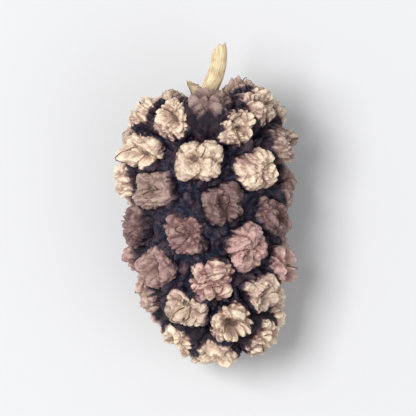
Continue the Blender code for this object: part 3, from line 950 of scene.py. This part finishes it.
route, heading = stalk_route(STALK_STEPS)
run = np.linspace(0, 1, STALK_STEPS)[:, None]
stalk_turn = np.linspace(0, 2 * math.pi, STALK_SIDES, endpoint=False)[None, :]
ridge_turn = STALK_RIDGES / 2 * (stalk_turn + RIDGE_TWIST * run)
ridge_sway = np.sin(RIDGE_SWAY_WAVES * run + 1) + np.sin(stalk_turn)
ridges = np.abs(np.sin(ridge_turn + RIDGE_SWAY * ridge_sway))
ridges_left = 1 - RIDGE_WORN * (1 - np.sin(stalk_turn + RIDGE_WORN_TWIST * run))
fibre_turn = FIBRES / 2 * (stalk_turn + FIBRE_TWIST * run)
fibre_sway = np.sin(FIBRE_SWAYS_ROUND * stalk_turn + FIBRE_SWAYS_ALONG * run)
fibres = np.abs(np.sin(fibre_turn + FIBRE_SWAY * fibre_sway))
girth = STALK_RADIUS * (STALK_WAIST + (1 - STALK_WAIST) * np.abs(2 * run - 1) ** 3)
girth = girth * (1 + COLLAR_SWELL * bell(run, COLLAR_PLACE, COLLAR_WIDTH))
girth = girth * (1 + KNOT_SWELL * np.sin(KNOT_WAVES * run + 2))
girth = girth * (1 - RIDGE_DEPTH * ridges_left * (1 - ridges) ** 2)
flattened = FLATTENING * np.sin(2 * stalk_turn + FLATTENING_TWIST * run)
girth = girth * (1 + flattened - END_PINCH * run**END_PINCH_POWER)
girth = girth * (1 - FIBRE_DEPTH * (1 - fibres) ** 2)
stalk = tubes(route[None], np.array([0, 0, 1.0]), np.ones((1, STALK_STEPS)), STALK_SIDES)[0]
stalk = route[:, None, :] + (stalk - route[:, None, :]) * girth[..., None]
torn = np.sin(stalk_turn + 1) + TORN_FINE * np.sin(TORN_FINE_WAVES * stalk_turn)
torn = TORN_END * torn * run**TORN_POWER
stalk = stalk + heading[:, None, :] * torn[..., None]
stalk_ends = np.stack([route[-1] - END_HOLLOW * heading[-1], route[0]])
wood, wood_tree, wood_shader = new_material("dry_stalk", STALK_ROUGHNESS)
# The stalk is darker in the grooves between its ridges: painted shade.
groove_shade = graded(wood_tree, read_value(wood_tree, "ridge"), *GROOVE_SHADE_RANGE)
blotch = graded(wood_tree, noise(wood_tree, STALK_BLOTCH), *STALK_BLOTCH_RANGE)
grain_axes = {0: read_value(wood_tree, "east"), 1: read_value(wood_tree, "north")}
grain_axes[2] = read_value(wood_tree, "along")
grain_place = add_node(wood_tree, "ShaderNodeCombineXYZ", grain_axes).outputs[0]
grain_feeds = {"Vector": grain_place, "Scale": GRAIN_LINES, "Detail": GRAIN_DETAIL}
wood_grain = add_node(wood_tree, "ShaderNodeTexNoise", grain_feeds).outputs["Fac"]
wood_lines = graded(wood_tree, wood_grain, *GRAIN_RANGE)
wood_share = maths(wood_tree, "MULTIPLY", maths(wood_tree, "MULTIPLY", groove_shade, blotch), wood_lines)
wood_colour = mixed(wood_tree, wood_share, STRAW_DARK, STRAW)
foot_share = graded(wood_tree, read_value(wood_tree, "along"), *STALK_FOOT_RANGE)
wood_colour = mixed(wood_tree, foot_share, wood_colour, STALK_FOOT_COLOUR)
wood_tree.links.new(wood_colour, wood_shader.inputs["Base Color"])
add_bump(wood_tree, wood_shader, wood_grain, STALK_RELIEF)
relief = RIDGE_SHARE * ridges + (1 - RIDGE_SHARE) * fibres
stalk_values = {"ridge": relief[None, ::-1], "along": run[None, ::-1]}
stalk_values["east"] = np.cos(stalk_turn)[None]
stalk_values["north"] = np.sin(stalk_turn)[None]
stalk_mesh = shells_mesh("dried_stalk", stalk[None, ::-1], stalk_ends[None], stalk_values)
add_piece("dried_stalk", stalk_mesh, wood, "stalk")


# The bract: a small dry scale left from the flower at the stalk's foot, as thin as paper, that
# stands off to the left of the stalk and curls up at its pointed end.
BRACT_PLACE = 0.40
BRACT_LENGTH = 1.7 * MM
BRACT_WIDTH = 0.34 * MM
BRACT_THICKNESS = 0.06 * MM
BRACT_START = (-0.80, 0.35, 0.30)
BRACT_CURL = (0.10, 0.75, 0.75)
BRACT_FACING = (0.25, 0.0, 1.0)
BRACT_OUTLINE = (0.18, 0.98)
BRACT_FULLNESS = 0.8
BRACT_THINNING = 0.6
BRACT_CUP = 0.45
BRACT_TIP = 0.05 * MM
BRACT_STEPS = 60
BRACT_SIDES = 64
BRACT_VEINS = 9
VEIN_HEIGHT = 0.018 * MM
VEIN_DRIFT = 1.5
CROSS_VEIN_HEIGHT = 0.8
CROSS_VEINS_ALONG = 13
CROSS_VEINS_OVER = 3
BRACT_COLOUR = (0.84, 0.69, 0.46)
BRACT_BROWN = (0.26, 0.12, 0.065)
BRACT_ROUGHNESS = 0.7
BRACT_EDGE_RANGE = (0.55, 1.0, 0.0, 0.8)
BRACT_BLOTCH = 0.4 * MM
BRACT_BLOTCH_RANGE = (0.42, 0.68, 0.0, 0.45)
VEIN_RANGE = (0.6, -0.2, 0.0, 0.45)
BRACT_GRAIN = 0.08 * MM
BRACT_RELIEF = 0.03 * MM

# The ripples that make its edge ragged: how many waves along it, their start, and their depth.
BRACT_RAGS = ((23, 0, 0.09), (41, 2, 0.07), (77, 1, 0.05))

bract_run = np.linspace(0, 1, BRACT_STEPS)[:, None]
bract_way = np.array(BRACT_START) + np.array(BRACT_CURL) * bract_run
bract_way /= np.linalg.norm(bract_way, axis=1, keepdims=True)
bract_strides = (bract_way[1:] + bract_way[:-1]) / 2 * BRACT_LENGTH / (BRACT_STEPS - 1)
bract_foot = route[int(BRACT_PLACE * STALK_STEPS)]
bract_route = bract_foot + np.concatenate([np.zeros((1, 3)), np.cumsum(bract_strides, axis=0)])
bract_turn = np.linspace(0, 2 * math.pi, BRACT_SIDES, endpoint=False)[None, :]
bract_across = np.cross(bract_way, BRACT_FACING)
bract_across /= np.linalg.norm(bract_across, axis=1, keepdims=True)
bract_above = np.cross(bract_across, bract_way)
bract_bulge = math.pi * np.linspace(*BRACT_OUTLINE, BRACT_STEPS)[:, None]
bract_wide = BRACT_WIDTH * np.sin(bract_bulge) ** BRACT_FULLNESS
bract_thick = BRACT_THICKNESS * (1 - BRACT_THINNING * bract_run)
bract_over = np.cos(bract_turn)
bract_rags = [rag * np.sin(waves * bract_run + start) for waves, start, rag in BRACT_RAGS]
bract_side = bract_wide * bract_over * (1 + sum(bract_rags))
bract_cup = BRACT_CUP * bract_wide * bract_over**2 + bract_thick * np.sin(bract_turn)
bract_vein = np.sin(BRACT_VEINS / 2 * math.pi * bract_over + VEIN_DRIFT * bract_run)
bract_cross = np.sin(CROSS_VEINS_ALONG * bract_run + CROSS_VEINS_OVER * bract_over)
bract_vein = np.abs(bract_vein) + CROSS_VEIN_HEIGHT * bract_cross
bract_cup = bract_cup + VEIN_HEIGHT * bract_vein
bract = bract_route[:, None, :] + bract_across[:, None, :] * bract_side[..., None]
bract = bract + bract_above[:, None, :] * bract_cup[..., None]
bract_ends = np.stack([bract_route[-1] + bract_way[-1] * BRACT_TIP, bract_route[0]])
scale, scale_tree, scale_shader = new_material("dry_bract", BRACT_ROUGHNESS)
scale_edge = graded(scale_tree, read_value(scale_tree, "edge"), *BRACT_EDGE_RANGE)
scale_patch = graded(scale_tree, noise(scale_tree, BRACT_BLOTCH), *BRACT_BLOTCH_RANGE)
scale_colour = mixed(scale_tree, scale_patch, BRACT_COLOUR, BRACT_BROWN)
scale_colour = mixed(scale_tree, scale_edge, scale_colour, BRACT_BROWN)
# The bract is browner in the hollows between its raised veins: painted shade.
scale_valley = graded(scale_tree, read_value(scale_tree, "vein"), *VEIN_RANGE)
scale_colour = mixed(scale_tree, scale_valley, scale_colour, BRACT_BROWN)
scale_tree.links.new(scale_colour, scale_shader.inputs["Base Color"])
add_bump(scale_tree, scale_shader, noise(scale_tree, BRACT_GRAIN), BRACT_RELIEF)
bract_values = {"edge": np.abs(bract_over)[None], "vein": bract_vein[None, ::-1]}
bract_mesh = shells_mesh("dry_bract", bract[None, ::-1], bract_ends[None], bract_values)
add_piece("dry_bract", bract_mesh, scale, "stalk")
